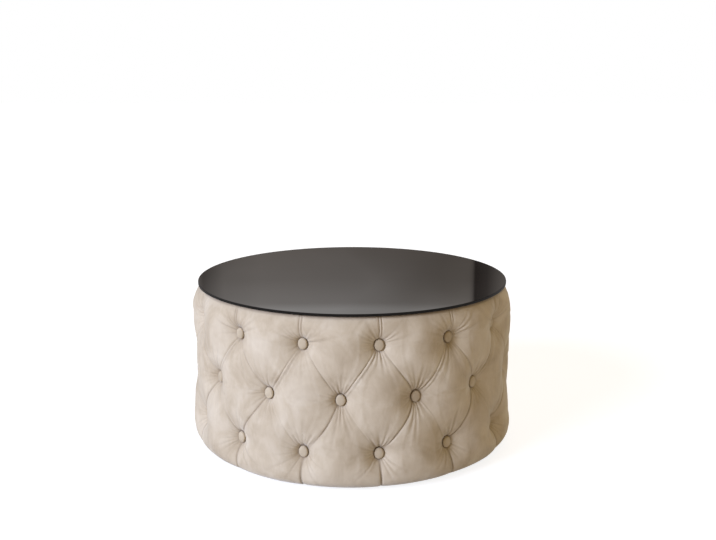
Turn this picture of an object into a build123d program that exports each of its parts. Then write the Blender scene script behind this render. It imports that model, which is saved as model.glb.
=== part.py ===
from build123d import *
import math
import os

# Round ottoman coffee table: a drum in deep-buttoned velvet with a loose dark glass plate on top.
# Millimetres, +Z up. The origin is on the floor, under the middle of the drum.
# Angles are in degrees, from the front (-Y) towards +X.

# Overall size, over the crowns of the tufts and from the floor to the glass
drum_r = 400.0
table_h = 400.0

# Glass plate, how far it stays inside the tufts, and the clear pads that it lies on
plate_inset = 10.0
plate_t = 6.0
plate_arris = 0.8
pad_r = 10.0
pad_t = 2.5
pad_count = 4
pad_inset = 76.0

# Wooden frame: two round boards, uprights between them and a bent plywood skin
board_t = 18.0
upright_w = 45.0
upright_d = 33.0
upright_count = 8
skin_t = 4.0
skin_gap = 0.2
skin_seam = 1.0

# Foam and velvet. The wrap is their thickness on the skin where they are drawn in most, the
# cover is hemmed over both boards, and it stays a little clear of the foam.
wrap_t = 25.8
cover_t = 2.0
hem_w = 55.0
soft_gap = 0.3

# Buttons: three rows round the drum, the middle row half a pitch off the others. The shares
# are of the cover's height: where the middle row is, and how far off it the other two are.
tufts = 14
row_phase = 9.35
middle_row_share = 0.51
row_step_share = 0.317
seat_depth = 27.0
seat_rise = 2.0
button_r = 13.0
button_t = 7.0
button_face_r = 7.5
button_rim = 2.0
button_sides = 8
button_play = 1.0
button_gap = 0.1

# Twine that draws each button in. Its two strands lie side by side, stapled inside the skin.
twine_w = 4.0
twine_t = 1.6
twine_tail = 30.0
twine_hole = 5.0
twine_gap = 0.05

# Underside: dust cover, and the glides that the table stands on
dust_inset = 11.0
dust_t = 0.8
glide_r = 15.0
glide_h = 6.0
glide_count = 4
glide_inset = 30.0

# One overrun for every cut
over = 5.0

# Shape of the tufts between one row's seats and the next row's.
# Each entry is a share of the way up, then how far the tuft that opens out, the tuft that
# closes and the pleat between them have risen from the seats, as shares of the tufting's depth.
diamond_shares = (
    (0.3, 0.72, 0.99, 0.62),
    (0.7, 0.99, 0.72, 0.62),
)

# Shape of the top and bottom edges, from the rim to the nearest row's seats.
# Each entry is a share of that height, how far the tufts have rolled in as a share of the
# edge's roll, and the depth and width of the upright pleats as shares of the seats'.
top_edge_shares = (
    (0.0, 1.0, 0.10, 0.24),
    (0.15, 0.60, 0.18, 0.28),
    (0.5, 0.22, 0.36, 0.40),
)
bottom_edge_shares = (
    (0.0, 1.0, 0.10, 0.24),
    (0.35, 0.14, 0.36, 0.38),
)
top_roll = 14.0
bottom_roll = 30.0

# Every tuft's outline climbs from its pleats by a steep flank, then by an easy slope on this
# share of each half of its crown, to a level top. With the slopes, in degrees, the same at
# all heights, each face between two outlines is flat.
flank_slope = 48.0
crown_slope = 12.0
crown_slope_share = 0.62

# Heights that follow
plate_z = table_h - plate_t
board_top = plate_z - pad_t
cover_top = board_top + cover_t
cover_bottom = glide_h + dust_t
board_bottom = cover_bottom + cover_t
row_z = cover_bottom + middle_row_share * (cover_top - cover_bottom)
row_step = row_step_share * (cover_top - cover_bottom)
top_row_z = row_z + row_step
bottom_row_z = row_z - row_step

# Radii and angles that follow
plate_r = drum_r - plate_inset
seat_r = drum_r - seat_depth
pleat_r = seat_r - seat_rise
tuft_depth = drum_r - pleat_r
skin_out_r = pleat_r - wrap_t
skin_in_r = skin_out_r - skin_t
frame_r = skin_in_r - skin_gap
hem_r = frame_r - hem_w
dust_r = frame_r - dust_inset
pad_ring_r = frame_r - pad_inset
glide_ring_r = frame_r - glide_inset
tuft_pitch = 360 / tufts
seat_half = button_r + button_play
seat_angle = math.degrees(seat_half / seat_r)

# How far in a tuft's flank runs for each millimetre of its rise, and how far the middle of
# its crown stands over the crown's ends for each millimetre of half its width
flank_run = 1 / math.tan(math.radians(flank_slope))
crown_swell = crown_slope_share * math.tan(math.radians(crown_slope))


def point(r, angle, z):
    """A point at a radius, an angle from the front and a height."""
    turn = math.radians(angle)
    return Vector(r * math.sin(turn), -r * math.cos(turn), z)


def turned(shape, angle):
    """A piece built for the front, along -Y, turned to its place round the drum."""
    return Rot(0, 0, angle) * shape


def disc(r, bottom, thickness):
    return Pos(0, 0, bottom) * extrude(Circle(r), thickness)


def ringed(shape, count, phase=0.0):
    """Copies of a piece built for the front, evenly round the drum."""
    return [turned(shape, phase + k * 360 / count) for k in range(count)]


def tuft_outline(middle, half, valley, crown, z, rounded):
    """Corners of one tuft's outline at one height, from pleat to pleat.

    `valley` is the radius at the pleats, and `crown` is that of the crown's middle.
    An outline that isn't rounded runs level between the tops of its flanks.
    """
    pleat_x = valley * math.sin(math.radians(half))
    pleat_y = valley * math.cos(math.radians(half))
    level = crown - crown_swell * (pleat_x + flank_run * pleat_y)
    flank_y = level / (1 - crown_swell * flank_run)
    flank_x = pleat_x - flank_run * (flank_y - pleat_y)
    side = [(pleat_x, pleat_y), (flank_x, flank_y)]
    if rounded:
        side.append(((1 - crown_slope_share) * flank_x, crown))
    corners = [(-x, y) for x, y in side] + list(reversed(side))
    return [point(math.hypot(x, y), middle + math.degrees(math.atan2(x, y)), z) for x, y in corners]


def section(half, valley, column, between, z, rounded):
    """Corners of the whole outline at one height.

    A tuft of half-angle `half` stands over each button of the outer rows, and another fills
    the way to the next. `column` and `between` are their crowns, and `valley` is the pleats.
    """
    corners = []
    for k in range(tufts):
        middle = row_phase + k * tuft_pitch
        rest = tuft_pitch / 2 - half
        corners += tuft_outline(middle, half, valley, column, z, rounded)[:-1]
        corners += tuft_outline(middle + tuft_pitch / 2, rest, valley, between, z, rounded)[:-1]
    return corners


def flat_loft(sections):
    """The ruled loft through outlines whose sides are parallel, so that every face is flat."""
    faces = [Face(Wire.make_polygon(corners)) for corners in (sections[0], sections[-1])]
    for lower, upper in zip(sections, sections[1:]):
        for k in range(len(lower)):
            side = [lower[k - 1], lower[k], upper[k], upper[k - 1]]
            faces.append(Face(Wire.make_polygon(side)))
    return Solid(Shell(faces))


def seat_section(z, column_is_seat):
    """Outline sizes level with a row of buttons."""
    if column_is_seat:
        return z, seat_angle, pleat_r, seat_r, drum_r
    return z, tuft_pitch / 2 - seat_angle, pleat_r, drum_r, seat_r


def edge_sections(rim, seat_z, roll, edge_shares):
    """Outline sizes from a rim to the seats of the row next to it."""
    sections = []
    for height, rolled, depth, width in edge_shares:
        z = rim + height * (seat_z - rim)
        crown = drum_r - roll * rolled
        groove = crown - depth * tuft_depth
        sections.append((z, width * seat_angle, groove, groove + seat_rise, crown))
    return sections


def diamond_sections(low, high, column_opens):
    """Outline sizes between two rows, where the tufts over one row's buttons open out."""
    sections = []
    for share, opening, closing, pleat in diamond_shares:
        z = low + share * (high - low)
        half = seat_angle + share * (tuft_pitch / 2 - 2 * seat_angle)
        valley, opens, closes = (pleat_r + rise * tuft_depth for rise in (pleat, opening, closing))
        if column_opens:
            sections.append((z, half, valley, opens, closes))
        else:
            sections.append((z, tuft_pitch / 2 - half, valley, closes, opens))
    return sections


def tufted_drum(inset, rounded):
    """The solid inside the tufted surface, moved inwards on every side by an inset."""
    bottom, top = cover_bottom + inset, cover_top - inset
    low_seat, high_seat = bottom_row_z - seat_half, top_row_z + seat_half
    rows = edge_sections(bottom, low_seat, bottom_roll, bottom_edge_shares)
    rows.append(seat_section(low_seat, True))
    rows.append(seat_section(bottom_row_z + seat_half, True))
    rows += diamond_sections(bottom_row_z + seat_half, row_z - seat_half, True)
    rows.append(seat_section(row_z - seat_half, False))
    rows.append(seat_section(row_z + seat_half, False))
    rows += diamond_sections(row_z + seat_half, top_row_z - seat_half, False)
    rows.append(seat_section(top_row_z - seat_half, True))
    rows.append(seat_section(high_seat, True))
    rows += reversed(edge_sections(top, high_seat, top_roll, top_edge_shares))
    return flat_loft([
        section(half, valley - inset, column - inset, between - inset, z, rounded)
        for z, half, valley, column, between in rows
    ])


def tufted_cover():
    """Velvet on its wadding: the tufted side, with a hem turned in over each board."""
    skin = tufted_drum(0.0, True) - tufted_drum(cover_t, False)
    return skin - disc(hem_r, cover_bottom - over, cover_top - cover_bottom + 2 * over)


def foam_wrap():
    """Foam round the skin, drawn in by the buttons and filling every tuft."""
    core_r = skin_out_r + soft_gap
    core = disc(core_r, cover_bottom - over, cover_top - cover_bottom + 2 * over)
    return tufted_drum(cover_t + soft_gap, False) - core


def glass_top():
    plate = disc(plate_r, plate_z, plate_t)
    rims = plate.edges().filter_by(GeomType.CIRCLE)
    return chamfer(rims, plate_arris)


def glass_pads():
    return ringed(Pos(0, -pad_ring_r, 0) * disc(pad_r, board_top, pad_t), pad_count, 180 / pad_count)


def top_board():
    return disc(frame_r, board_top - board_t, board_t)


def base_board():
    return disc(frame_r, board_bottom, board_t)


def upright_angle(k):
    """The uprights stand halfway between two twines, as evenly as the buttons allow."""
    return row_phase + (round(k * 2 * tufts / upright_count) + 0.5) * tuft_pitch / 2


def upright(k):
    bottom = board_bottom + board_t
    height = board_top - board_t - bottom
    outer = math.sqrt(frame_r**2 - (upright_w / 2) ** 2)
    post = extrude(Rectangle(upright_w, upright_d), height)
    return turned(Pos(0, upright_d / 2 - outer, bottom) * post, upright_angle(k))


def twine_places(row):
    """Angle and height of each button in a row, counted -1, 0 and 1 from the bottom."""
    phase = row_phase + (tuft_pitch / 2 if row == 0 else 0.0)
    return [(phase + k * tuft_pitch, row_z + row * row_step) for k in range(tufts)]


def side_skin():
    """Bent plywood round the boards, butted at the first upright, with a hole for each twine."""
    height = board_top - board_bottom
    ring = extrude(Circle(skin_out_r) - Circle(skin_in_r), height)
    seam = extrude(Rectangle(skin_seam, skin_t + 2 * over), height)
    middle_r = (skin_in_r + skin_out_r) / 2
    ring -= turned(Pos(0, -middle_r, 0) * seam, upright_angle(0))
    hole = Box(twine_hole, skin_t + 2 * over, twine_hole)
    places = twine_places(-1) + twine_places(0) + twine_places(1)
    holes = [
        turned(Pos(0, -middle_r, z - board_bottom) * hole, angle) for angle, z in places
    ]
    return Pos(0, 0, board_bottom) * (ring - holes)


def tuft_buttons(row):
    """Covered buttons on their seats: a flat back, a short rim and a low crown."""
    button = Rot(90, 0, 0) * flat_loft([
        [point(r, k * 360 / button_sides, height) for k in range(button_sides)]
        for r, height in ((button_r, 0), (button_r, button_rim), (button_face_r, button_t))
    ])
    back = seat_r + button_gap
    return [turned(Pos(0, -back, z) * button, angle) for angle, z in twine_places(row)]


def tuft_twines(row):
    """Twine from each button's back through the wrap and the skin, with a tail turned up."""
    inner = math.sqrt(skin_in_r**2 - (twine_w / 2) ** 2) - twine_gap
    back = seat_r + button_gap
    corners = [
        (-back, -twine_t / 2),
        (twine_t - inner, -twine_t / 2),
        (twine_t - inner, twine_tail),
        (-inner, twine_tail),
        (-inner, twine_t / 2),
        (-back, twine_t / 2),
    ]
    outline = make_face(Plane.YZ * Polyline(corners, close=True))
    twine = extrude(outline, twine_w / 2, both=True)
    return [turned(Pos(0, 0, z) * twine, angle) for angle, z in twine_places(row)]


def dust_cover():
    return disc(dust_r, glide_h, dust_t)


def glides():
    return ringed(Pos(0, -glide_ring_r, 0) * disc(glide_r, 0, glide_h), glide_count, 180 / glide_count)


def save(name, shape):
    export_step(Compound(shape) if isinstance(shape, list) else shape, f"parts/{name}.step")


os.makedirs("parts", exist_ok=True)
save("glass_top", glass_top())
save("glass_pads", glass_pads())
save("top_board", top_board())
save("base_board", base_board())
for number in range(upright_count):
    save(f"upright_{number + 1}", upright(number))
save("side_skin", side_skin())
save("foam_wrap", foam_wrap())
save("tufted_cover", tufted_cover())
for place, row in (("bottom", -1), ("middle", 0), ("top", 1)):
    save(f"tuft_buttons_{place}", tuft_buttons(row))
    save(f"tuft_twines_{place}", tuft_twines(row))
save("dust_cover", dust_cover())
save("glides", glides())
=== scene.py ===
import math
import random
from itertools import groupby

import bpy
import numpy as np
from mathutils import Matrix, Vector
from mathutils.geometry import delaunay_2d_cdt
from mathutils.kdtree import KDTree


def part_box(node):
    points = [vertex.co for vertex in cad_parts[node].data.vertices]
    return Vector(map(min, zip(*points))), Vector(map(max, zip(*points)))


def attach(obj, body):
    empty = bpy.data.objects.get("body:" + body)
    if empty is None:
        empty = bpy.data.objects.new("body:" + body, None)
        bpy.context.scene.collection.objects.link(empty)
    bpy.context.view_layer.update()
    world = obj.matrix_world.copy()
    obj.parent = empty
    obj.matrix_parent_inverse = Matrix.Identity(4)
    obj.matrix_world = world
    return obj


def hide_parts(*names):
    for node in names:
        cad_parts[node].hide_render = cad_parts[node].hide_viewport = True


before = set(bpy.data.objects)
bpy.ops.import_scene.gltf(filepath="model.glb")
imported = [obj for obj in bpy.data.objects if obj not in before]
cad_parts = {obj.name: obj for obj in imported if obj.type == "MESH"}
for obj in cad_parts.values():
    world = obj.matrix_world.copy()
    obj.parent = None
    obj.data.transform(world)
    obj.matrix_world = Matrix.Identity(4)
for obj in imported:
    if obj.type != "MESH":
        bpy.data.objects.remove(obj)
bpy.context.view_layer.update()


# sizes from the frame, in metres
def node_box(node):
    """Lowest and highest corner of a CAD node, to a tenth of a millimetre."""
    return [[round(float(value), 4) for value in corner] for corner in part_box(node)]


ROW_NAMES = ("bottom", "middle", "top")
COVER_LOW, COVER_HIGH = node_box("tufted_cover")
BUTTON_BOXES = [node_box(f"tuft_buttons_{name}") for name in ROW_NAMES]
R = round(COVER_HIGH[0], 3)          # over the crowns of the tufts
BOTTOM_Z = COVER_LOW[2]              # velvet under the base board
TOP_Z = COVER_HIGH[2]                # velvet on the top board
ROW_Z = tuple(round((low[2] + high[2]) / 2, 4) for low, high in BUTTON_BOXES)
BUTTON_R = round((BUTTON_BOXES[0][1][2] - BUTTON_BOXES[0][0][2]) / 2, 4)

# the tufting, as the CAD has it
TUFTS = 14
PITCH = 2 * math.pi / TUFTS
PHASE = math.radians(9.35)           # the first button of the outer rows, from -Y towards +X
SEAT_R = 0.373                       # seats of the buttons
HEM_R = 0.286                        # how far in the hem reaches on both boards
VELVET = 0.002                       # thickness


# small helpers
def smooth(x):
    """0 up to 0, 1 from 1 on, and an even curve between."""
    x = np.clip(x, 0.0, 1.0)
    return x * x * (3 - 2 * x)


def wrapped(angle):
    """The same angle, between minus and plus half a turn."""
    return np.mod(angle + math.pi, 2 * math.pi) - math.pi


def around(radius, angle, z):
    """Points round the drum; angles start at -Y, the photo's side, and run towards +X."""
    height = np.broadcast_to(z, np.shape(angle))
    return np.stack([radius * np.sin(angle), -radius * np.cos(angle), height], axis=-1)


def button_angle(row, k):
    """Where button k of a row stands; the middle row is half a pitch off the other two."""
    return PHASE + (PITCH / 2 if row == 1 else 0.0) + k * PITCH


def mesh_object(name, verts, faces, body="drum", shade=True):
    """A mesh that rides on a body. The studio's own meshes ride on none."""
    mesh = bpy.data.meshes.new(name)
    mesh.from_pydata([tuple(v) for v in verts], [], faces)
    mesh.validate()
    if shade:
        mesh.polygons.foreach_set("use_smooth", [True] * len(mesh.polygons))
    mesh.update()
    obj = bpy.data.objects.new(name, mesh)
    bpy.context.scene.collection.objects.link(obj)
    if body:
        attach(obj, body)
    return obj


def band_faces(rows):
    """Faces between closed rows of vertices, each row to the next. A pole is a row of one vertex repeated."""
    faces = []
    for low, high in zip(rows, rows[1:]):
        quads = np.stack([low, np.roll(low, -1), np.roll(high, -1), high], axis=-1).tolist()
        faces += [[corner for i, corner in enumerate(quad) if corner != quad[i - 1]] for quad in quads]
    return faces


def turned(profile, segments, place):
    """Vertices and faces of a turned solid. place(radius, height, turn) gives a point; radius 0 is a pole."""
    verts, rows = [], []
    for radius, height in profile:
        turns = [2 * math.pi * s / segments for s in range(segments if radius else 1)]
        row = list(range(len(verts), len(verts) + len(turns)))
        rows.append(row * (segments // len(turns)))
        verts += [place(radius, height, turn) for turn in turns]
    return verts, band_faces(rows)


# velvet: one pitch of the wall is laid flat, triangulated, and repeated round the drum
WIDE = PITCH * R                     # one pitch, laid flat
TUCK = 0.0028                        # half the gap between the two pleats at a button
WALL_LOW, WALL_HIGH = BOTTOM_Z + VELVET, TOP_Z - VELVET
NARROW = 0.83                        # the twine pulls each button a little oval
SEAT_HALF = 0.0143                   # half the height of the flat seat under a button
SEAT_OVAL = 0.0020                   # how much less half its width is
SAME = 1e-7                          # closer than this is one place

# radii of the rings of points round a button
RING_RADII = [0.0062, 0.0108, 0.0130, 0.0140, 0.0152, 0.0166, 0.0182, 0.0200, 0.0221, 0.0245, 0.0272, 0.0302,
              0.0335, 0.0371, 0.0410, 0.0450]

# the buttons at the corners and in the middle of the laid-flat cell
BUTTONS_FLAT = [(0.0, ROW_Z[0]), (0.0, ROW_Z[2]), (WIDE / 2, ROW_Z[1]), (WIDE, ROW_Z[0]), (WIDE, ROW_Z[2])]

# how far apart the points of the laid-flat cell are
COARSE = 1.2
SKIP = 1
LINE_STEP = 0.0030 * COARSE          # down the middle line of a tuft
PLEAT_STEP = 0.0016 * COARSE         # down a pleat
RING_STEP = 0.0011 * COARSE          # round a button
FILL_STEP = 0.0031 * COARSE          # between
ROWS_BESIDE = ((0.0012, 0.0026, 0.0044, 0.0068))    # rows beside a pleat
ROW_GAP, RING_GAP, FILL_GAP = 0.00085 * COARSE, 0.0007 * COARSE, 0.0019 * COARSE

# height and radius of the crowns along the side, rolled in at both edges
WALL = np.array([(0.0068, 0.3770), (0.0090, 0.3860), (0.0130, 0.3935), (0.0200, 0.3990), (0.0290, 0.4015),
                 (0.0450, 0.4022), (0.0700, 0.4016), (0.1060, 0.4003), (0.1370, 0.3997), (0.2040, 0.3992),
                 (0.2450, 0.4000), (0.2800, 0.4012), (0.3150, 0.4018), (0.3400, 0.4008), (0.3530, 0.3996),
                 (0.3680, 0.3960), (0.3800, 0.3915), (0.3870, 0.3880), (0.3915, 0.3852), (0.3935, 0.3800)])

# depth of a pleat's crease and how wide it fades out, by where the pleat runs
TOP_PLEAT = (0.0035, 0.0015)         # from the top buttons up to the rim
UPPER_PLEAT = (0.0028, 0.0013)       # between the middle and the top row
LOWER_PLEAT = (0.0042, 0.0015)       # between the bottom and the middle row, down to the left
SOFT_PLEAT = (0.0004, 0.0022)        # the same, down to the right, where the velvet is only drawn in
HEM_PLEAT = (0.0048, 0.0016)         # from the bottom buttons down to the hem
SOFT_GAIN = 0.0014                   # what a soft pleat gains at its ends
EDGE_LOSS = 0.0012                   # what the upright pleats lose on their way to the rim and the hem

# how far the pleats lie off an even pattern
SWAY_TOP = 0.003                     # to either side, on their way to the rim
SWAY_LOW = (0.001, 0.005)            # to the right, on their way to the hem
LEAN = 0.003                         # to one side and then to the other, between the rows

# how far they bow between the rows, left (-1) and right (1) of a tuft: least and most shares of a length
BOW_UPPER = {-1: (-0.5, 0.6, 0.009), 1: (-1.2, 0.0, 0.008)}
BOW_LOWER = {-1: (0.1, 1.0, 0.006), 1: (0.1, 1.0, 0.012)}

# the velvet beside a pleat: how deep it slopes down to it, and from how far
SWELL = (0.0044, 0.052)
SOFT_SWELL = (0.0036, 0.024)

# the second edge of a folded pleat and the raised band before it: depth, place beside the pleat, width
SECOND_EDGE = (0.0030, 0.0070, 0.0013)
RAISED_BAND = (0.0012, 0.0036, 0.0019)

# the two parts of a dimple: their share of the whole depth, and how far they reach
NEAR_HOLLOW = (0.30, 0.0080)
WIDE_HOLLOW = (0.70, 0.050)
DIMPLE_REACH = 0.13                  # no dimple or gather is felt farther out

# bearings in degrees of the gathers round a button, between the rows or out to the rim and the hem
UP_INNER = (52, 63, 73, 82, 91, 100, 110, 120)
UP_TO_RIM = (22, 35, 47, 59, 121, 133, 145, 158)
DOWN_INNER = (-56, -67, -77, -87, -98, -109, -121)
DOWN_TO_HEM = (-28, -45, -60, -120, -135, -151)

# their length and depth, and where and how wide they start and how they widen
UP_SIZE = (0.105, 0.0017)
DOWN_SIZE = (0.115, 0.0011)
LEFT_SIZE = (0.080, 0.0009)
RIGHT_SIZE = (0.050, 0.0007)
GATHER_START = 0.0120
GATHER_WIDE = 0.0011
GATHER_FAN = 0.030
LEFT_OUT = 0.08                      # share of the gathers that are left out

# the puffs between the buttons, over the crowns, and how far from the rim and the hem they end
PUFF = 0.0114
PUFF_EDGE = 0.065
RELIEF_EDGE = 0.02                   # how far from there gathers and unevenness fade
SEAT_SPARE = 0.0004                  # how far under its seat the velvet may lie

# slow unevenness of the velvet: height, number of waves, wave length, seed
DRIFT = (0.0010, 14, 0.15, 3)
FINE_DRIFT = (0.00025, 18, 0.045, 4)
CALM = (0.0023, 0.03)                # how far inside a seat's edge it starts, and over what way it grows

# painted shade: how much darker the velvet is made in its folds, where shade falls
PLEAT_SHADE = 0.48
UPPER_PLEAT_SHADE = 0.34
FULL_CREASE = 0.0040                 # the depth of a crease that takes all of it
GATHER_SHADE = 0.34
FULL_GATHER = 0.0015
BUTTON_GAP_SHADE = 0.88                   # painted shade in the gap round each button
BUTTON_FADE = (0.0002, 0.0018)       # how far inside the seat's edge it starts to fade, and over what way
PLATE_GAP_SHADOW = 0.65                    # painted shadow in the gap under the plate's edge
PLATE_GAP_Z = 0.3860                 # where that gap starts
PLATE_FADE = 0.0045                  # how far above that it is full


def wall_radius(z):
    """Radius of the crowns at each height."""
    return np.interp(z, WALL[:, 0], WALL[:, 1])


def unevenness(points, height, count, wave, seed):
    """Smooth noise in 3-D, about as high as height: the sum of waves in seeded directions."""
    gen = np.random.default_rng(seed)
    out = np.zeros(points.shape[:-1])
    for _ in range(count):
        way = gen.normal(size=3)
        way /= np.linalg.norm(way)
        pace = 2 * math.pi / (wave * gen.uniform(0.7, 1.4))
        out += np.sin(points @ way * pace + gen.uniform(0, 2 * math.pi))
    return height * (out / math.sqrt(count / 2))


def run_shares(z):
    """How far each height is from an outer row to the middle one, to the rim and to the hem, from 0 to 1."""
    low, mid, high = ROW_Z
    share = np.clip(np.where(z < mid, (z - low) / (mid - low), (high - z) / (high - mid)), 0, 1)
    top = np.clip((z - high) / (TOP_Z - high), 0, 1)
    bottom = np.clip((low - z) / (low - BOTTOM_Z), 0, 1)
    return share, top, bottom


def tuft_half(z):
    """Half the width of the tuft that stands between an upper and a lower button."""
    share, top, bottom = run_shares(z)
    half = TUCK + (WIDE / 2 - 2 * TUCK) * share
    spreading = TUCK * (1 + 0.15 * top)                  # towards the rim
    closing = TUCK * (1 - 0.70 * smooth(bottom * 5))     # towards the hem
    return np.where(z < ROW_Z[0], closing, np.where(z > ROW_Z[2], spreading, half))


def drawn(gen, least, most, length):
    """A share of a length, drawn at random, as an angle."""
    return gen.uniform(least, most) * length / R


def pleat_angles(z):
    """Angles of all pleats at each height, in order: left and right of each tuft over an outer button."""
    gen = np.random.default_rng(23)
    half = tuft_half(z) / R
    share, top, bottom = run_shares(z)
    arch = np.sin(math.pi * share)
    lean = np.sin(2 * math.pi * share)
    columns = []
    for k in range(TUFTS):
        sway_top = gen.uniform(-SWAY_TOP, SWAY_TOP) / R * np.sin(math.pi * top)
        sway_low = gen.uniform(*SWAY_LOW) / R * bottom ** 1.5
        for side in (-1, 1):
            upper_bow = drawn(gen, *BOW_UPPER[side])
            lower_bow = drawn(gen, *BOW_LOWER[side])
            bow = np.where(z > ROW_Z[1], -side * upper_bow, lower_bow) * arch
            bow += drawn(gen, -1, 1, LEAN) * lean
            columns.append(button_angle(0, k) + side * half + bow + sway_top + sway_low)
    return np.stack(columns, axis=1)


def pleats_and_slopes(z):
    """Angles of all pleats at each height, and how far each runs sideways for its rise."""
    step = 0.0004
    return pleat_angles(z), (pleat_angles(z + step) - pleat_angles(z - step)) / (2 * step) * R


def edge_shares():
    """Shares of the width between two tucks, closer together beside the tucks."""
    count = 42
    even = np.linspace(-1, 1, count + 1)
    return (np.sign(even) * (1 - (1 - np.abs(even)) ** 1.25) + 1) / 2


def fan_row(z):
    """Places across one laid-flat pitch: the middle of a tuft, its pleat, and on to the next tuft's pleat."""
    half = float(tuft_half(z))
    return np.concatenate([[0.0], half + (WIDE - 2 * half) * edge_shares()])


def line_heights():
    """Heights down the middle line of a tuft, on the rings of its two buttons and spread between."""
    marks = {WALL_LOW, WALL_HIGH}
    rim = 0.001
    for z in (ROW_Z[0], ROW_Z[2]):
        marks.add(z)
        for radius in RING_RADII[::SKIP]:
            marks.update(h for h in (z - radius, z + radius) if WALL_LOW + rim < h < WALL_HIGH - rim)
    marks = sorted(marks)
    heights = []
    for low, high in zip(marks, marks[1:]):
        parts = max(1, round((high - low) / LINE_STEP))
        heights += [low + (high - low) * i / parts for i in range(parts)]
    return heights + [marks[-1]]


def pleat_places():
    """Places down the pleat in the left half of the laid-flat cell: across, height, slope."""
    count = int((WALL_HIGH - WALL_LOW) / PLEAT_STEP)
    z = np.linspace(WALL_LOW, WALL_HIGH, count + 1)[1:-1]
    half = tuft_half(z)
    return list(zip(half.tolist(), z.tolist(), np.gradient(half, z).tolist()))


def from_button(x, z):
    """How far a laid-flat place is from the middle of the nearest button."""
    return min(math.hypot(x - bx, z - bz) for bx, bz in BUTTONS_FLAT)


def inside(x, z, rim=0.0006):
    """Whether a laid-flat place is inside the cell, and not too near its rim."""
    return rim < x < WIDE - rim and WALL_LOW + rim < z < WALL_HIGH - rim


def flat_cell():
    """Points and triangles of one pitch, laid flat: rings round buttons, rows by pleats, a fill between."""
    points, edges = [], []

    def keep(candidates, gap):
        """Add the candidates that are no nearer than gap to what is there already."""
        tree = KDTree(len(points))
        for i, (x, z) in enumerate(points):
            tree.insert((x, z, 0.0), i)
        tree.balance()
        points.extend([place for place in candidates if tree.find((*place, 0.0))[2] > gap])

    def chain(run):
        """Add a run of points with an edge from each to the next."""
        start = len(points)
        points.extend(run)
        edges.extend((start + i, start + i + 1) for i in range(len(run) - 1))
        return start, len(points) - 1

    # the rim of the cell
    heights = line_heights()
    sides = [chain([(x, z) for z in heights]) for x in (0.0, WIDE)]
    for z, end in ((WALL_LOW, 0), (WALL_HIGH, 1)):
        first, last = chain([(float(x), z) for x in fan_row(z)[1:]])
        edges.append((sides[0][end], first))
        edges.append((last, sides[1][end]))

    # the pleats themselves, out of the buttons' reach
    pleat = pleat_places()
    for mirror in (False, True):
        line = [(WIDE - x if mirror else x, z) for x, z, _ in pleat]
        for clear, run in groupby(line, key=lambda place: from_button(*place) > BUTTON_R):
            if clear:
                chain(list(run))

    # rows beside the pleats
    for offset in ROWS_BESIDE:
        row = []
        for sign in (-1, 1):
            for mirror in (False, True):
                for x, z, slope in pleat[::2 if offset > 0.004 else 1]:
                    x += sign * offset * math.sqrt(1 + slope * slope)
                    x = WIDE - x if mirror else x
                    if from_button(x, z) > BUTTON_R and inside(x, z):
                        row.append((x, z))
        keep(row, ROW_GAP)

    # rings round the buttons
    most = 96
    for n, radius in enumerate(RING_RADII[::SKIP]):
        count = max(12, min(most, int(2 * math.pi * radius / RING_STEP)))
        turns = [2 * math.pi * (s + 0.5 * (n % 2)) / count for s in range(count)]
        ring = [(bx + radius * math.cos(turn), bz + radius * math.sin(turn))
                for bx, bz in BUTTONS_FLAT for turn in turns]
        keep([place for place in ring if inside(*place)], RING_GAP)
    keep([(WIDE / 2, ROW_Z[1])], 0.0005)

    # a loose fill of triangles between
    gen = np.random.default_rng(77)
    rise = 0.866                     # of a row of even triangles, for a side of 1
    fill = []
    for j in range(int((WALL_HIGH - WALL_LOW) / (FILL_STEP * rise)) + 1):
        for i in range(int(WIDE / FILL_STEP) + 1):
            x = (i + 0.5 * (j % 2)) * FILL_STEP + gen.uniform(-0.1, 0.1) * FILL_STEP
            z = WALL_LOW + j * FILL_STEP * rise + gen.uniform(-0.1, 0.1) * FILL_STEP
            if from_button(x, z) > RING_RADII[-1] and inside(x, z, 0.0012):
                fill.append((x, z))
    keep(fill, FILL_GAP)
    found = delaunay_2d_cdt([Vector(place) for place in points], edges, [], 0, 1e-6)
    return np.array([tuple(v) for v in found[0]]), np.array([tuple(f) for f in found[2]])


def fold_lines(row, k):
    """Gathers that fan out from one button: bearing, length, depth."""
    gen = np.random.default_rng(1000 + row * 50 + k)
    up = UP_INNER if row < 2 else UP_TO_RIM
    down = DOWN_INNER if row > 0 else DOWN_TO_HEM
    left = (150, 163, 176, 189, 203, 217) if row < 2 else (170, 184, 198, 212)
    right = (8, -9) if row else (12, -6, -24)
    lines = []
    for group, (length, depth) in ((up, UP_SIZE), (down, DOWN_SIZE), (left, LEFT_SIZE), (right, RIGHT_SIZE)):
        for bearing in group:
            if gen.uniform() < LEFT_OUT:
                continue
            lines.append((math.radians(bearing + gen.uniform(-4, 4)), length * gen.uniform(0.55, 1.15),
                          depth * gen.uniform(0.5, 1.15)))
    return lines


FOLDS = {(row, k): fold_lines(row, k) for row in range(3) for k in range(TUFTS)}


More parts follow.
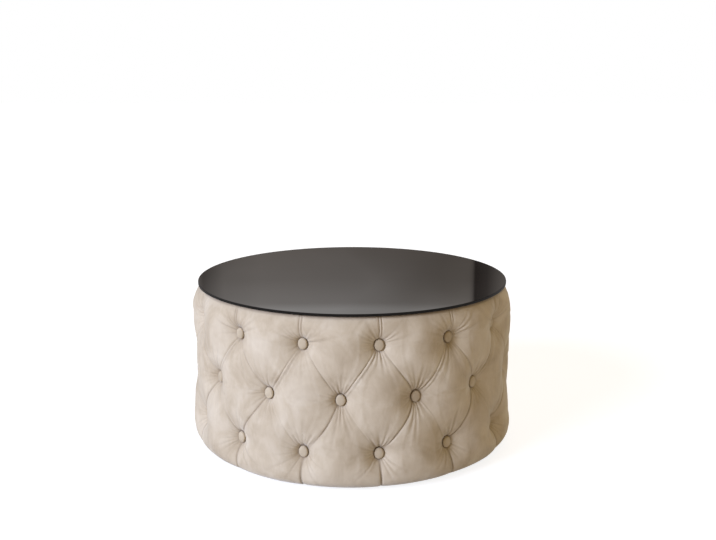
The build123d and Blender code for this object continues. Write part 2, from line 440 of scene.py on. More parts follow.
def pleat_relief(angle, z, strip, pleats, slopes, spare):
    """How deep each place lies in the crease of the nearer pleat, and in the velvet's slope down to it."""
    pleat, inner, right_hand = strip
    place = np.arange(len(z))
    across = np.abs(wrapped(angle - pleats[place, pleat])) * R / np.sqrt(1 + slopes[place, pleat] ** 2)
    across = np.clip(across - spare, 0, None)
    below, upper, above = z < ROW_Z[0], z > ROW_Z[1], z > ROW_Z[2]
    share, edge_top, edge_bottom = run_shares(z)
    ends = 1 - smooth(share / 0.35) * smooth((1 - share) / 0.35)     # 1 beside the buttons, 0 between them
    soft = ~upper & ~below & ~right_hand         # below the middle row, down to the right

    soft_depth = SOFT_PLEAT[0] + SOFT_GAIN * ends + SOFT_GAIN * smooth((0.6 - share) / 0.3)
    zones = [above, below, upper, soft]
    depth = np.select(zones, [TOP_PLEAT[0] - EDGE_LOSS * edge_top, HEM_PLEAT[0] - EDGE_LOSS * edge_bottom,
                              UPPER_PLEAT[0], soft_depth], LOWER_PLEAT[0])
    spread = np.select(zones, [TOP_PLEAT[1], HEM_PLEAT[1], UPPER_PLEAT[1], SOFT_PLEAT[1]], LOWER_PLEAT[1])
    crease = depth * np.exp(-across / spread)
    swell = SWELL[0] * (0.8 + 0.4 * ends) * (1 - np.clip(across / SWELL[1], 0, 1)) ** 2
    swell = np.where(soft, SOFT_SWELL[0] * np.exp(-(across / SOFT_SWELL[1]) ** 2), swell)
    swell *= np.where(above, 1 - 0.85 * edge_top, 1.0) * np.where(below, 1 - 0.70 * edge_bottom, 1.0)

    # the second edge of the folded pleats, on their under side, with a raised band between the two
    folded = inner & upper & ~above & ~right_hand
    along = smooth(share / 0.12) * smooth((1 - share) / 0.14)
    deep, aside, wide = SECOND_EDGE
    second_edge = deep * np.exp(-np.abs(across - aside) / wide)
    high, aside, wide = RAISED_BAND
    raised_band = high * np.exp(-((across - aside) / wide) ** 2)
    return crease + np.where(folded, along * (second_edge - raised_band), 0), swell


def dimples(angle, z, spare):
    """What the dimples leave of the depth, the gathers round the buttons, and the way to the nearest seat."""
    rest = np.ones(angle.shape)
    gathers = np.zeros(angle.shape)
    nearest = np.full(angle.shape, 1.0)
    gen = np.random.default_rng(8)
    for row, k in FOLDS:
        du = wrapped(angle - button_angle(row, k)) * R
        dz = z - ROW_Z[row]
        distance = np.hypot(du, dz)
        from_seat = distance - SEAT_HALF + SEAT_OVAL * (du / np.maximum(distance, 1e-9)) ** 2
        nearest = np.minimum(nearest, from_seat)
        pull = gen.uniform(0.94, 1.06)
        near = distance < DIMPLE_REACH
        if not near.any():
            continue
        reach = np.clip(from_seat[near] - spare, 0, None)
        hollow = NEAR_HOLLOW[0] * np.exp(-reach / (NEAR_HOLLOW[1] * pull))
        hollow += WIDE_HOLLOW[0] * np.exp(-(reach / (WIDE_HOLLOW[1] * pull)) ** 1.35)
        rest[near] *= 1 - hollow
        bearing = np.arctan2(dz[near], du[near])
        total = np.zeros(reach.shape)
        for way, length, deep in FOLDS[row, k] if spare == 0 else []:
            sideways = distance[near] * np.sin(bearing - way)
            along = distance[near] * np.cos(bearing - way)
            fade = smooth((length - along) / (0.85 * length)) * smooth((along - GATHER_START) / 0.004)
            side = sideways / (GATHER_WIDE + GATHER_FAN * np.clip(along, 0, None))
            total += deep * fade * (np.exp(-side * side) - 0.45 * np.exp(-(np.abs(side) - 1.9) ** 2))
        gathers[near] -= total
    return rest, gathers, nearest


def edge_fade(z, reach):
    """1 on the wall, fading to 0 at the rim and the hem over the reach."""
    return smooth((z - BOTTOM_Z) / reach) * smooth((TOP_Z - z) / reach)


def painted_shade_share(z, crease, gathers, nearest):
    """How much painted shade each place takes: in pleats, in gathers, in the gap at each button, under the
    plate.
    """
    pleat_shade = np.where((z > ROW_Z[1]) & (z <= ROW_Z[2]), UPPER_PLEAT_SHADE, PLEAT_SHADE)
    painted_shade = pleat_shade * np.clip(crease / FULL_CREASE, 0, 1) + GATHER_SHADE * np.clip(-gathers / FULL_GATHER, 0, 1)
    shade_at_button = BUTTON_GAP_SHADE * (1 - smooth((nearest + BUTTON_FADE[0]) / BUTTON_FADE[1]))
    shadow_under_plate = PLATE_GAP_SHADOW * smooth((z - PLATE_GAP_Z) / PLATE_FADE)
    return np.clip(np.maximum(np.maximum(painted_shade, shade_at_button), shadow_under_plate), 0, 1)


def velvet_radius(angle, z, strip, pleats, slopes, spare=0.0):
    """Radius of the velvet, and how much painted shade each place takes. strip says which pleat is nearer
    and on which side of it the point lies; spare widens every pleat and dimple, for the lining."""
    crease, swell = pleat_relief(angle, z, strip, pleats, slopes, spare)
    rest, gathers, nearest = dimples(angle, z, spare)
    _, edge_top, edge_bottom = run_shares(z)

    # the pleats press the velvet in, and the buttons pull it in
    full = wall_radius(z) + PUFF * edge_fade(z, PUFF_EDGE)
    deep = full - SEAT_R + SEAT_SPARE
    pressed = np.clip((crease + swell) / deep, 0, 0.95)
    pulled = (1 - rest) * (1 - 0.50 * smooth(edge_top)) * (1 - 0.80 * smooth(edge_bottom))
    sunk = deep * (1 - (1 - pulled) * (1 - pressed))
    drift = unevenness(around(R, angle, z), *DRIFT) + unevenness(around(R, angle, z), *FINE_DRIFT)
    drift *= smooth((nearest + CALM[0]) / CALM[1])
    relief = (gathers + drift) * (0.25 + 0.75 * edge_fade(z, RELIEF_EDGE))
    radius = np.maximum(full - sunk + relief, SEAT_R - SEAT_SPARE)
    return radius, painted_shade_share(z, crease, gathers, nearest)


def cell_angles(k, x, z, pleats):
    """Angle round the drum of laid-flat places in pitch k, and the nearer pleat of each."""
    half = tuft_half(z)
    after = (k + 1) % TUFTS
    wrap = 2 * math.pi if after == 0 else 0.0
    right = pleats[:, 2 * k + 1]
    left = pleats[:, 2 * after] + wrap
    start = (pleats[:, 2 * k] + right) / 2
    end = (left + pleats[:, 2 * after + 1] + wrap) / 2
    before_pleat = start + (right - start) * x / half
    after_pleat = left + (end - left) * (x - WIDE + half) / half
    middle = right + (left - right) * np.clip((x - half) / (WIDE - 2 * half), 0, 1)
    angle = np.where(x < half, before_pleat, np.where(x > WIDE - half, after_pleat, middle))
    first = x < WIDE / 2
    inner = (x < half) | (x > WIDE - half)
    return angle, (np.where(first, 2 * k + 1, 2 * after), inner, first)


def hem(points, level, shares, lift=0.0):
    """Rings of velvet turned over the edge of a board, flat on it, with shallow gathers unless lift is 0."""
    angle = np.arctan2(points[:, 0], -points[:, 1])
    radius = np.hypot(points[:, 0], points[:, 1])
    rings = []
    for share in shares:
        swing = math.sin(math.pi * min(share * 1.6, 1)) ** 2
        ruck = 0.0007 * np.sin(angle * 61 + 1.3 * np.sin(angle * 7)) * swing
        z = level - lift * (0.0011 * math.exp(-share * 30) + np.abs(ruck))
        rings.append(around(radius * (1 - share) + HEM_R * share, angle, z))
    return rings


def lining_rows():
    """The back of the velvet, with every pleat and dimple wider, row by row from the hem up."""
    widened, inward = 0.008, 0.0025
    heights = np.linspace(BOTTOM_Z + 0.003, TOP_Z - 0.003, 32)
    across = np.stack([fan_row(height) for height in heights])
    z = np.repeat(heights, across.shape[1])
    pleats, slopes = pleats_and_slopes(z)
    pitches = []
    for k in range(TUFTS):
        angle, strip = cell_angles(k, across.ravel(), z, pleats)
        radius, _ = velvet_radius(angle, z, strip, pleats, slopes, widened)
        pitches.append(around(radius - inward, angle, z).reshape(*across.shape, 3))
    return list(np.concatenate(pitches, axis=1))


def velvet_cover():
    """The whole cover as one closed mesh: the wall, both hems, and the lining with its own hems."""
    flat, triangles = flat_cell()
    x, z = flat[:, 0], flat[:, 1]
    pleats, slopes = pleats_and_slopes(z)
    left = np.flatnonzero(x < SAME)
    right = np.flatnonzero(x > WIDE - SAME)
    left = left[np.argsort(z[left])]
    right = right[np.argsort(z[right])]
    own = np.setdiff1d(np.arange(len(x)), right)
    place = np.full(len(x), -1)
    place[own] = np.arange(len(own))
    verts, faces, painted_shade_values = [], [], []
    for k in range(TUFTS):
        angle, strip = cell_angles(k, x, z, pleats)
        radius, painted_shade = velvet_radius(angle, z, strip, pleats, slopes)
        verts.append(around(radius, angle, z)[own])
        painted_shade_values.append(painted_shade[own])
        index = place + k * len(own)
        index[right] = place[left] + ((k + 1) % TUFTS) * len(own)
        faces += index[triangles].tolist()
    verts = np.concatenate(verts)

    def rim(height):
        """The wall's vertices at one of its rims, in order round the drum."""
        row = [int(i) for i in own[np.abs(z[own] - height) < SAME]]
        row.sort(key=lambda i: x[i])
        return np.array([place[i] + k * len(own) for k in range(TUFTS) for i in row])

    low_rim, high_rim = rim(WALL_LOW), rim(WALL_HIGH)
    cols = len(low_rim)
    assert cols == len(high_rim) == TUFTS * (len(edge_shares()) + 1)

    front_shares = (0.02, 0.05, 0.10, 0.18, 0.30, 0.45, 0.62, 0.8, 1.0)
    back_shares = (0.2, 0.6, 1.0)
    lining = lining_rows()
    over = hem(verts[high_rim], TOP_Z, front_shares, 1)
    under = hem(verts[low_rim], BOTTOM_Z, front_shares, -1)
    back_over = hem(lining[-1], TOP_Z - VELVET, back_shares)
    back_under = hem(lining[0], BOTTOM_Z + VELVET, back_shares)
    rings = over + back_over[::-1] + lining[::-1] + back_under + under[::-1]
    rows = list(len(verts) + np.arange(len(rings) * cols).reshape(-1, cols))
    faces += band_faces([high_rim] + rows + [low_rim])
    verts = np.concatenate([verts] + rings)
    obj = mesh_object("velvet_cover", verts.tolist(), faces)
    painted_shade_values = np.concatenate(painted_shade_values)
    # the painted shade of each vertex, which the velvet's material reads
    share = obj.data.attributes.new("painted_shade", "FLOAT", "POINT")
    share.data.foreach_set("value", np.pad(painted_shade_values, (0, len(verts) - len(painted_shade_values))).astype(np.float32))
    return obj


velvet = velvet_cover()
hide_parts("tufted_cover")


# foam between the velvet and the skin
def foam_ring():
    rows, cols = 40, 208
    core, thinnest = 0.3456, 0.3600  # inner radius, against the skin, and the least outer radius
    under = 0.018                    # how far the foam stays under the velvet's crowns
    gap = VELVET + 0.0004            # from the outside of the velvet, at its rim and its hem
    heights = BOTTOM_Z + gap + np.linspace(0.0, 1.0, rows) * (TOP_Z - BOTTOM_Z - 2 * gap)
    angle, z = np.meshgrid(np.linspace(0, 2 * math.pi, cols, endpoint=False), heights)
    nearest = np.full(angle.shape, 1e9)
    for row, height in enumerate(ROW_Z):
        phase = button_angle(row, 0)
        k = np.round((angle - phase) / PITCH)
        nearest = np.minimum(nearest, np.hypot((angle - phase - k * PITCH) * R, z - height))
    dimple = (R - SEAT_R - 0.014) * np.exp(-(np.clip(nearest - 0.016, 0, None) / 0.030) ** 0.9)
    radius = np.clip(wall_radius(z) - under - dimple, thinnest, None)
    inner = [around(core, angle[0], height) for height in (heights[-1], heights[0])]
    points = np.concatenate([around(radius, angle, z), np.stack(inner)], axis=0)
    index = list(np.arange((rows + 2) * cols).reshape(rows + 2, cols))
    return mesh_object("foam_ring", points.reshape(-1, 3), band_faces(index + index[:1]))


foam = foam_ring()
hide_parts("foam_wrap")

# buttons: radius and height of the covered cap, from its back to its middle
BUTTON_HIGH = 0.007
BUTTON_PROFILE = [(0.0, 0.0002), (0.0105, 0.0002), (0.0122, 0.0009), (0.0130, 0.0022), (0.01295, 0.0034),
                  (0.0124, 0.0047), (0.0114, 0.0056), (0.0098, 0.0062), (0.0076, 0.0066), (0.0048, 0.0069),
                  (0.0020, BUTTON_HIGH), (0.0, BUTTON_HIGH)]
BUTTON_GAP = 0.0002                  # between the seat and the button's back


def one_button(row, k, gen):
    """Vertices and faces of one button, leaning a little, with its velvet pinched towards the back."""
    angle = button_angle(row, k)
    out = Vector((math.sin(angle), -math.cos(angle), 0.0))
    side = Vector((math.cos(angle), math.sin(angle), 0.0))
    up = Vector((0, 0, 1))
    base = out * (SEAT_R + BUTTON_GAP) + up * ROW_Z[row]
    lean_side, lean_up = gen.uniform(-0.03, 0.03), gen.uniform(-0.03, 0.05)
    wave = gen.uniform(0, 6.28)
    pinches, pinch_deep, pinched_high = 9, 0.008, 0.003

    def place(radius, height, turn):
        pinch = 1 + pinch_deep * math.cos(pinches * turn + wave) * (1 if height < pinched_high else 0.3)
        u, v = radius * pinch * NARROW * math.cos(turn), radius * pinch * math.sin(turn)
        lean = (u * lean_side + v * lean_up) * (height / BUTTON_HIGH)
        return base + side * u + up * v + out * (height + lean)

    return turned(BUTTON_PROFILE, 40, place)


def buttons(row):
    gen = random.Random(31 + row)
    verts, faces = [], []
    for k in range(TUFTS):
        more_verts, more_faces = one_button(row, k, gen)
        faces += [[len(verts) + corner for corner in face] for face in more_faces]
        verts += more_verts
    obj = mesh_object(f"covered_buttons_{ROW_NAMES[row]}", verts, faces)
    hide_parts(f"tuft_buttons_{ROW_NAMES[row]}")
    return obj


button_rows = [buttons(row) for row in range(3)]


# glass plate with a ground and polished edge
def glass():
    (_, _, low), (radius, _, high) = node_box("glass_top")
    arris, flat = 0.0008, 0.2        # the ground edge, and a ring on the face
    near, far = radius - arris, radius - 0.35 * arris
    profile = [(0.0, low), (flat, low), (near, low), (far, low + 0.22 * arris), (radius, low + arris),
               (radius, high - arris), (far, high - 0.22 * arris), (near, high), (flat, high), (0.0, high)]
    verts, faces = turned(profile, 288, lambda r, z, turn: (r * math.cos(turn), r * math.sin(turn), z))
    obj = mesh_object("glass_plate", verts, faces, body="glass")
    obj.data.set_sharp_from_angle(angle=math.radians(8))
    for face in obj.data.polygons:
        face.material_index = 1 if abs(face.normal.z) < 0.98 else 0
    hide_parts("glass_top")
    return obj


plate = glass()


# dust cover: thin cloth, stretched and stapled, wavy at its edge
def dust_cover():
    (_, _, low), (edge_r, _, high) = node_box("dust_cover")
    cols, middle_r, waves = 240, 0.004, 43
    angle = np.linspace(0, 2 * math.pi, cols, endpoint=False)

    def radius(share):
        wavy = 1 + (0.0016 * np.sin(angle * waves + np.sin(angle * 5)) if share == 1.0 else 0)
        return (middle_r + (edge_r - middle_r) * share) * wavy

    rings = [around(radius(share), angle, low + 0.00012 * (1 + np.sin(angle * waves)) * share**6)
             for share in (0.0, 0.12, 0.3, 0.5, 0.7, 0.85, 0.94, 1.0)]
    rings += [around(radius(share), angle, high - 0.00005) for share in (1.0, 0.5, 0.0)]
    index = np.arange(len(rings) * cols).reshape(len(rings), cols)
    faces = band_faces(index) + [index[0][::-1].tolist(), index[-1].tolist()]
    return mesh_object("dust_cloth", np.concatenate(rings), faces)


dust = dust_cover()
dust.data.set_sharp_from_angle(angle=math.radians(40))
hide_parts("dust_cover")


# staples of the dust cover
def staples():
    count, ring_r = 52, 0.322
    half_long, half_wide = 0.005, 0.00035
    low, high = 0.0056, 0.0062
    box_faces = ((0, 3, 2, 1), (4, 5, 6, 7), (0, 1, 5, 4), (1, 2, 6, 5), (2, 3, 7, 6), (3, 0, 4, 7))
    verts, faces = [], []
    for k in range(count):
        angle = 2 * math.pi * (k + 0.5) / count
        out = Vector((math.sin(angle), -math.cos(angle), 0))
        side = Vector((math.cos(angle), math.sin(angle), 0))
        faces += [[len(verts) + corner for corner in face] for face in box_faces]
        for z in (low, high):
            for u, v in ((-1, -1), (1, -1), (1, 1), (-1, 1)):
                verts.append(side * (u * half_long) + out * (ring_r + v * half_wide) + Vector((0, 0, z)))
    return mesh_object("dust_cover_staples", verts, faces, shade=False)


staple_ring = staples()


# materials; a Mix node mixes its inputs 2 and 3 as numbers, and 6 and 7 as colours
def set_inputs(node, values):
    for name, value in values.items():
        node.inputs[name].default_value = value


def material(name):
    """A new material, its nodes and links, and its shader, linked to the output."""
    mat = bpy.data.materials.new(name)
    mat.use_nodes = True
    nodes, links = mat.node_tree.nodes, mat.node_tree.links
    nodes.clear()
    out = nodes.new("ShaderNodeOutputMaterial")
    shader = nodes.new("ShaderNodeBsdfPrincipled")
    links.new(shader.outputs[0], out.inputs[0])
    return mat, nodes, links, shader


def object_coords(nodes, links, scale=(1, 1, 1)):
    coords = nodes.new("ShaderNodeTexCoord")
    mapping = nodes.new("ShaderNodeMapping")
    mapping.inputs["Scale"].default_value = scale
    links.new(coords.outputs["Object"], mapping.inputs["Vector"])
    return mapping.outputs[0]


def noise_texture(nodes, links, coords, scale, detail, roughness, distortion=0.0):
    node = nodes.new("ShaderNodeTexNoise")
    links.new(coords, node.inputs["Vector"])
    set_inputs(node, {"Scale": scale, "Detail": detail, "Roughness": roughness, "Distortion": distortion})
    return node.outputs["Fac"]


def ramp(nodes, links, source, stops):
    node = nodes.new("ShaderNodeValToRGB")
    links.new(source, node.inputs[0])
    elements = node.color_ramp.elements
    while len(elements) < len(stops):
        elements.new(0.5)
    for element, (position, color) in zip(elements, stops):
        element.position = position
        element.color = (*color, 1.0)
    return node.outputs[0]


def bump(nodes, links, shader, sources):
    """Bumps one on another; each source comes with its distance and strength."""
    normal = None
    for source, distance, strength in sources:
        node = nodes.new("ShaderNodeBump")
        set_inputs(node, {"Distance": distance, "Strength": strength})
        links.new(source, node.inputs["Height"])
        if normal:
            links.new(normal, node.inputs["Normal"])
        normal = node.outputs[0]
    links.new(normal, shader.inputs["Normal"])


def velvet_material(name, tones, sheen):
    """Velvet in three tones, darkened by painted shade where the mesh's attribute marks a crease, a gather or
    a gap.
    """
    # the colour of the painted shade
    painted_shade_tone = (0.24, 0.17, 0.11)
    mat, nodes, links, shader = material(name)
    coords = object_coords(nodes, links)
    patches = noise_texture(nodes, links, coords, 13.0, 3.0, 0.55, 0.6)
    streaks = noise_texture(nodes, links, object_coords(nodes, links, (1.0, 1.0, 0.45)), 70.0, 4.0, 0.6, 1.2)
    fibre = noise_texture(nodes, links, coords, 900.0, 2.0, 0.6)
    mix = nodes.new("ShaderNodeMix")
    mix.data_type = "FLOAT"
    mix.inputs[0].default_value = 0.20
    links.new(patches, mix.inputs[2])
    links.new(streaks, mix.inputs[3])
    color = ramp(nodes, links, mix.outputs[0], list(zip((0.27, 0.50, 0.73), tones)))
    # painted shade: the colour darkens towards that tone by the share that the mesh carries
    painted_shade = nodes.new("ShaderNodeAttribute")
    painted_shade.attribute_name = "painted_shade"
    shaded = nodes.new("ShaderNodeMix")
    shaded.data_type = "RGBA"
    links.new(painted_shade.outputs["Fac"], shaded.inputs[0])
    links.new(color, shaded.inputs[6])
    shaded.inputs[7].default_value = (*painted_shade_tone, 1.0)
    links.new(shaded.outputs[2], shader.inputs["Base Color"])
    set_inputs(shader, {"Roughness": 0.85, "Specular IOR Level": 0.25, "Sheen Weight": sheen,
                        "Sheen Roughness": 0.42, "Sheen Tint": (0.86, 0.95, 1.0, 1.0)})
    bump(nodes, links, shader, [(streaks, 0.0012, 0.16), (fibre, 0.0004, 0.30)])
    return mat


def wood_material(name, dark, light, scale, stretch):
    """Planed wood or ply; stretch sets which way the grain runs."""
    mat, nodes, links, shader = material(name)
    coords = object_coords(nodes, links, stretch)
    grain = noise_texture(nodes, links, coords, scale, 6.0, 0.62, 0.5)
    pores = noise_texture(nodes, links, coords, scale * 9, 2.0, 0.5)
    links.new(ramp(nodes, links, grain, [(0.34, dark), (0.62, light)]), shader.inputs["Base Color"])
    shader.inputs["Roughness"].default_value = 0.62
    bump(nodes, links, shader, [(grain, 0.0006, 0.3), (pores, 0.0003, 0.3)])
    return mat


def grained_material(name, dark, light, scale, roughness, depth,
                     metallic=0.0, transmission=0.0, specular=0.5):
    """A plain finish with a fine grain in two tones, raised by depth."""
    mat, nodes, links, shader = material(name)
    grain = noise_texture(nodes, links, object_coords(nodes, links), scale, 3.0, 0.6)
    links.new(ramp(nodes, links, grain, [(0.35, dark), (0.65, light)]), shader.inputs["Base Color"])
    set_inputs(shader, {"Roughness": roughness, "Metallic": metallic, "Transmission Weight": transmission,
                        "Specular IOR Level": specular})
    bump(nodes, links, shader, [(grain, depth, 0.4)])
    return mat


def glass_material():
    """Dark glass with a mirror-like face, as it looks over a dark space."""
    mat, nodes, links, shader = material("dark_tinted_glass")
    coords = object_coords(nodes, links)
    haze = noise_texture(nodes, links, coords, 5.0, 2.0, 0.5)
    color = ramp(nodes, links, haze, [(0.35, (0.018, 0.015, 0.013)), (0.65, (0.024, 0.020, 0.018))])
    links.new(color, shader.inputs["Base Color"])
    smears = noise_texture(nodes, links, coords, 22.0, 4.0, 0.6)
    rough = ramp(nodes, links, smears, [(0.4, (0.018,) * 3), (0.7, (0.035,) * 3)])
    links.new(rough, shader.inputs["Roughness"])
    shader.inputs["IOR"].default_value = 1.5
    return mat


velvet_main = velvet_material(
    "champagne_velvet", ((0.44, 0.345, 0.222), (0.565, 0.465, 0.320), (0.67, 0.572, 0.417)), 0.34)
# the buttons: a darker copy of the same velvet, painted shade for the dimples they sit in
shaded_button_velvet = velvet_material(
    "champagne_velvet_buttons_shaded", ((0.44, 0.350, 0.226), (0.53, 0.434, 0.290), (0.61, 0.510, 0.352)), 0.25)
ground_edge = grained_material(
    "blackened_edge", (0.006, 0.005, 0.004), (0.012, 0.010, 0.008), 160.0, 0.55, 0.0001, specular=0.12)
foam_mat = grained_material("cream_foam", (0.74, 0.66, 0.46), (0.86, 0.79, 0.60), 260.0, 0.9, 0.0012)
cloth_mat = grained_material(
    "black_nonwoven", (0.012, 0.012, 0.013), (0.035, 0.035, 0.036), 700.0, 0.85, 0.0005)
steel_mat = grained_material("staple_steel", (0.50, 0.50, 0.50), (0.68, 0.68, 0.67), 300.0, 0.35, 0.0001, 1.0)

velvet.data.materials.append(velvet_main)
for button_row in button_rows:
    button_row.data.materials.append(shaded_button_velvet)
plate.data.materials.append(glass_material())
plate.data.materials.append(ground_edge)
foam.data.materials.append(foam_mat)
dust.data.materials.append(cloth_mat)
staple_ring.data.materials.append(steel_mat)

board_wood = wood_material("birch_plywood", (0.52, 0.37, 0.22), (0.72, 0.56, 0.38), 9.0, (1.0, 6.0, 6.0))
post_wood = wood_material("planed_pine", (0.56, 0.38, 0.20), (0.78, 0.60, 0.38), 8.0, (7.0, 7.0, 0.6))
skin_wood = wood_material("bent_plywood", (0.55, 0.40, 0.25), (0.74, 0.58, 0.40), 10.0, (5.0, 5.0, 0.7))
twine_mat = grained_material("waxed_twine", (0.60, 0.54, 0.44), (0.80, 0.75, 0.64), 900.0, 0.6, 0.0005)
glide_mat = grained_material("black_nylon", (0.014, 0.014, 0.015), (0.030, 0.030, 0.031), 400.0, 0.45, 0.0002)
pad_mat = grained_material(
    "clear_silicone", (0.80, 0.83, 0.84), (0.90, 0.92, 0.93), 200.0, 0.25, 0.0001, transmission=0.8)


def dress(mat, *names):
    """Give CAD nodes a better material."""
    for name in names:
        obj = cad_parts[name]
        obj.data.materials.clear()
        obj.data.materials.append(mat)


dress(board_wood, "top_board", "base_board")
dress(post_wood, *(f"upright_{k + 1}" for k in range(8)))
dress(skin_wood, "side_skin")
dress(twine_mat, *(f"tuft_twines_{name}" for name in ROW_NAMES))
dress(glide_mat, "glides")
dress(pad_mat, "glass_pads")


# studio: white floor and world, a tent that only reflections see, two lamps
def seen_share(nodes, links):
    """1 for camera, glossy and transmission rays, 0 for the rays that light the object."""
    path = nodes.new("ShaderNodeLightPath")
    total = path.outputs["Is Camera Ray"]
    for kind in ("Is Glossy Ray", "Is Transmission Ray"):
        add = nodes.new("ShaderNodeMath")
        add.operation = "ADD"
        add.use_clamp = True
        links.new(total, add.inputs[0])
        links.new(path.outputs[kind], add.inputs[1])
        total = add.outputs[0]
    return total


def studio_floor():
    """A floor that is white with a soft shadow to the eye, and warm grey to the light that it throws back."""
    half = 30.0
    corners = [(-half, -half, 0.0), (half, -half, 0.0), (half, half, 0.0), (-half, half, 0.0)]
    obj = mesh_object("studio_floor", corners, [[0, 1, 2, 3]], body=None, shade=False)
    mat, nodes, links, shader = material("floor_white")
    set_inputs(shader, {"Base Color": (0.72, 0.70, 0.67, 1), "Roughness": 0.9, "Specular IOR Level": 0.0})
    seen = nodes.new("ShaderNodeBsdfDiffuse")
    seen.inputs["Color"].default_value = (0.34, 0.34, 0.34, 1)
    glow = nodes.new("ShaderNodeEmission")
    glow.inputs["Strength"].default_value = 0.84
    both = nodes.new("ShaderNodeAddShader")
    links.new(seen.outputs[0], both.inputs[0])
    links.new(glow.outputs[0], both.inputs[1])
    pick = nodes.new("ShaderNodeMixShader")
    links.new(seen_share(nodes, links), pick.inputs[0])
    links.new(shader.outputs[0], pick.inputs[1])
    links.new(both.outputs[0], pick.inputs[2])
    links.new(pick.outputs[0], [n for n in nodes if n.type == "OUTPUT_MATERIAL"][0].inputs[0])
    obj.data.materials.append(mat)
    return obj


TENT_R = 9.0

# how bright each sixth of the tent is, from its left to its right, with dark gaps between its panels
PANELS = [(0.0, 1.00), (0.285, 1.00), (0.292, 0.45), (0.320, 1.00), (0.370, 1.15), (0.500, 1.00),
          (0.584, 1.08), (0.645, 1.28), (0.655, 1.20), (0.660, 0.12), (0.676, 0.28), (0.690, 0.75),
          (0.706, 1.20), (0.800, 1.00), (1.0, 1.00)]

# its colour by height, with the top of the tent at 1
TENT_TONES = [(0.0, (0.05, 0.045, 0.04)), (0.19, (0.175, 0.155, 0.140)), (0.225, (0.205, 0.185, 0.170)),
              (0.262, (0.265, 0.245, 0.23)), (0.295, (0.40, 0.38, 0.365)), (0.299, (0.59, 0.575, 0.565)),
              (0.315, (0.63, 0.62, 0.61)), (0.55, (0.26, 0.245, 0.235)), (1.0, (0.17, 0.16, 0.155))]


def map_range(nodes, links, source, values):
    node = nodes.new("ShaderNodeMapRange")
    set_inputs(node, values)
    links.new(source, node.inputs["Value"])
    return node.outputs[0]


def multiplied(nodes, links, first, second):
    """A node that multiplies two colours. Its input 0 says how much of the second counts."""
    node = nodes.new("ShaderNodeMix")
    node.data_type = "RGBA"
    node.blend_type = "MULTIPLY"
    node.inputs[0].default_value = 1.0
    links.new(first, node.inputs[6])
    links.new(second, node.inputs[7])
    return node


def tent_panels(nodes, links, place):
    """How bright the tent is by its panels, the same in every sixth of its round. -Y and +Y lie mid-sixth."""
    turn = nodes.new("ShaderNodeMath")
    turn.operation = "ARCTAN2"
    links.new(place.outputs[0], turn.inputs[0])
    links.new(place.outputs[1], turn.inputs[1])
    sixths = map_range(nodes, links, turn.outputs[0],
                       {"From Min": -math.pi, "From Max": math.pi, "To Min": 0.5, "To Max": 6.5})
    sixth = nodes.new("ShaderNodeMath")
    sixth.operation = "FRACT"
    links.new(sixths, sixth.inputs[0])
    return ramp(nodes, links, sixth.outputs[0], [(at, (level,) * 3) for at, level in PANELS])


def tent_material():
    mat = bpy.data.materials.new("surround_grey")
    mat.use_nodes = True
    nodes, links = mat.node_tree.nodes, mat.node_tree.links
    nodes.clear()
    out = nodes.new("ShaderNodeOutputMaterial")
    glow = nodes.new("ShaderNodeEmission")
    place = nodes.new("ShaderNodeSeparateXYZ")
    links.new(object_coords(nodes, links, (1 / TENT_R,) * 3), place.inputs[0])
    tones = ramp(nodes, links, place.outputs[2], TENT_TONES)
    clouds = noise_texture(nodes, links, object_coords(nodes, links, (-0.5, 0.5, 0.9)), 1.0, 1.5, 0.5)
    patches = ramp(nodes, links, clouds, [(0.36, (0.62, 0.60, 0.57)), (0.62, (1.15, 1.15, 1.15))])
    cloudy = multiplied(nodes, links, tones, patches)
    panelled = multiplied(nodes, links, cloudy.outputs[2], tent_panels(nodes, links, place))

    # the panels and their gaps fade out well below the top
    low_share = map_range(nodes, links, place.outputs[2], {"From Min": 0.80, "From Max": 0.55})
    links.new(low_share, panelled.inputs[0])
    links.new(panelled.outputs[2], glow.inputs["Color"])
    links.new(glow.outputs[0], out.inputs[0])
    return mat


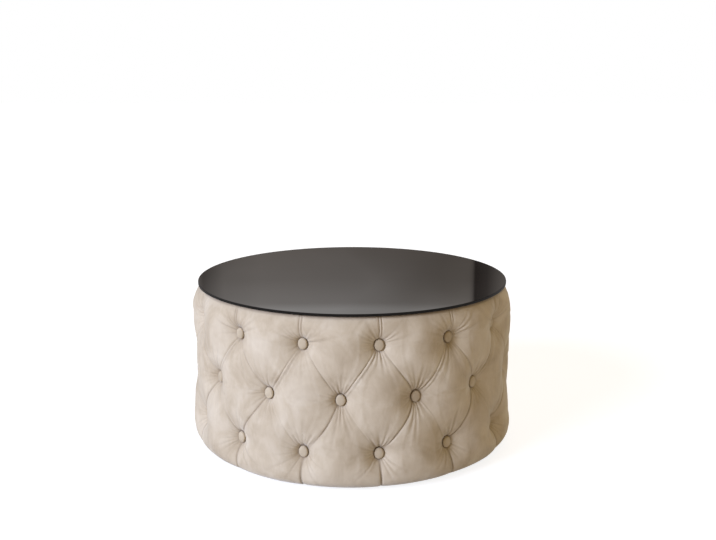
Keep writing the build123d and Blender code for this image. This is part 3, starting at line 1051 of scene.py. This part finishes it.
def surround():
    """A dark studio tent far outside every view, seen by reflections alone."""
    rings, cols = 15, 48
    lowest, highest = -4, 90         # degrees above the floor
    angle = np.linspace(0, 2 * math.pi, cols, endpoint=False)
    verts = []
    for i in range(rings):
        rise = math.radians(lowest + (highest - lowest) * i / (rings - 1))
        verts.append(around(TENT_R * math.cos(rise), angle, TENT_R * math.sin(rise)))
    faces = band_faces(np.arange(rings * cols).reshape(rings, cols))
    obj = mesh_object("studio_surround", np.concatenate(verts), faces, body=None)
    obj.data.materials.append(tent_material())
    obj.visible_camera = False
    obj.visible_diffuse = False
    obj.visible_transmission = False
    obj.visible_shadow = False
    obj.visible_volume_scatter = False
    return obj


floor = studio_floor()
tent = surround()


def sun(name, towards, strength, angle, color):
    data = bpy.data.lights.new(name, "SUN")
    data.energy = strength
    data.angle = math.radians(angle)
    data.color = color
    obj = bpy.data.objects.new(name, data)
    obj.rotation_euler = Vector(towards).to_track_quat("Z", "Y").to_euler()
    obj.visible_glossy = False
    bpy.context.scene.collection.objects.link(obj)


# a cool key light from the photo's left, and a warm one from behind
sun("key_left", (-0.74, -0.56, 0.36), 3.02, 28, (0.885, 1.05, 1.54))
sun("fill_behind", (0.35, 0.85, 0.42), 1.15, 60, (1.0, 0.86, 0.70))


def white_world():
    """White to the eye and to reflections, and a dim warm light on the object."""
    world = bpy.data.worlds.new("studio_world")
    bpy.context.scene.world = world
    world.use_nodes = True
    nodes, links = world.node_tree.nodes, world.node_tree.links
    nodes.clear()
    out = nodes.new("ShaderNodeOutputWorld")
    seen = nodes.new("ShaderNodeBackground")
    set_inputs(seen, {"Color": (1, 1, 1, 1), "Strength": 1.0})
    soft_light = nodes.new("ShaderNodeBackground")
    set_inputs(soft_light, {"Color": (1.0, 0.775, 0.42, 1), "Strength": 0.37})
    mix = nodes.new("ShaderNodeMixShader")
    links.new(seen_share(nodes, links), mix.inputs[0])
    links.new(soft_light.outputs[0], mix.inputs[1])
    links.new(seen.outputs[0], mix.inputs[2])
    links.new(mix.outputs[0], out.inputs[0])


white_world()
scene = bpy.context.scene
scene.view_settings.view_transform = "Standard"


# camera, at the photo's angle
def photo_camera():
    photo_width, horizon_shift = 716, 80         # in pixels of the photo
    data = bpy.data.cameras.new("camera")
    data.sensor_width = 36.0
    data.lens = 45.42
    data.shift_y = -horizon_shift / photo_width
    data.clip_end = 100.0
    obj = bpy.data.objects.new("camera", data)
    obj.location = (0.0147, -2.2751, 0.9001)
    obj.rotation_euler = (math.radians(90 - 7.023), 0, 0)
    scene.collection.objects.link(obj)
    scene.camera = obj


photo_camera()
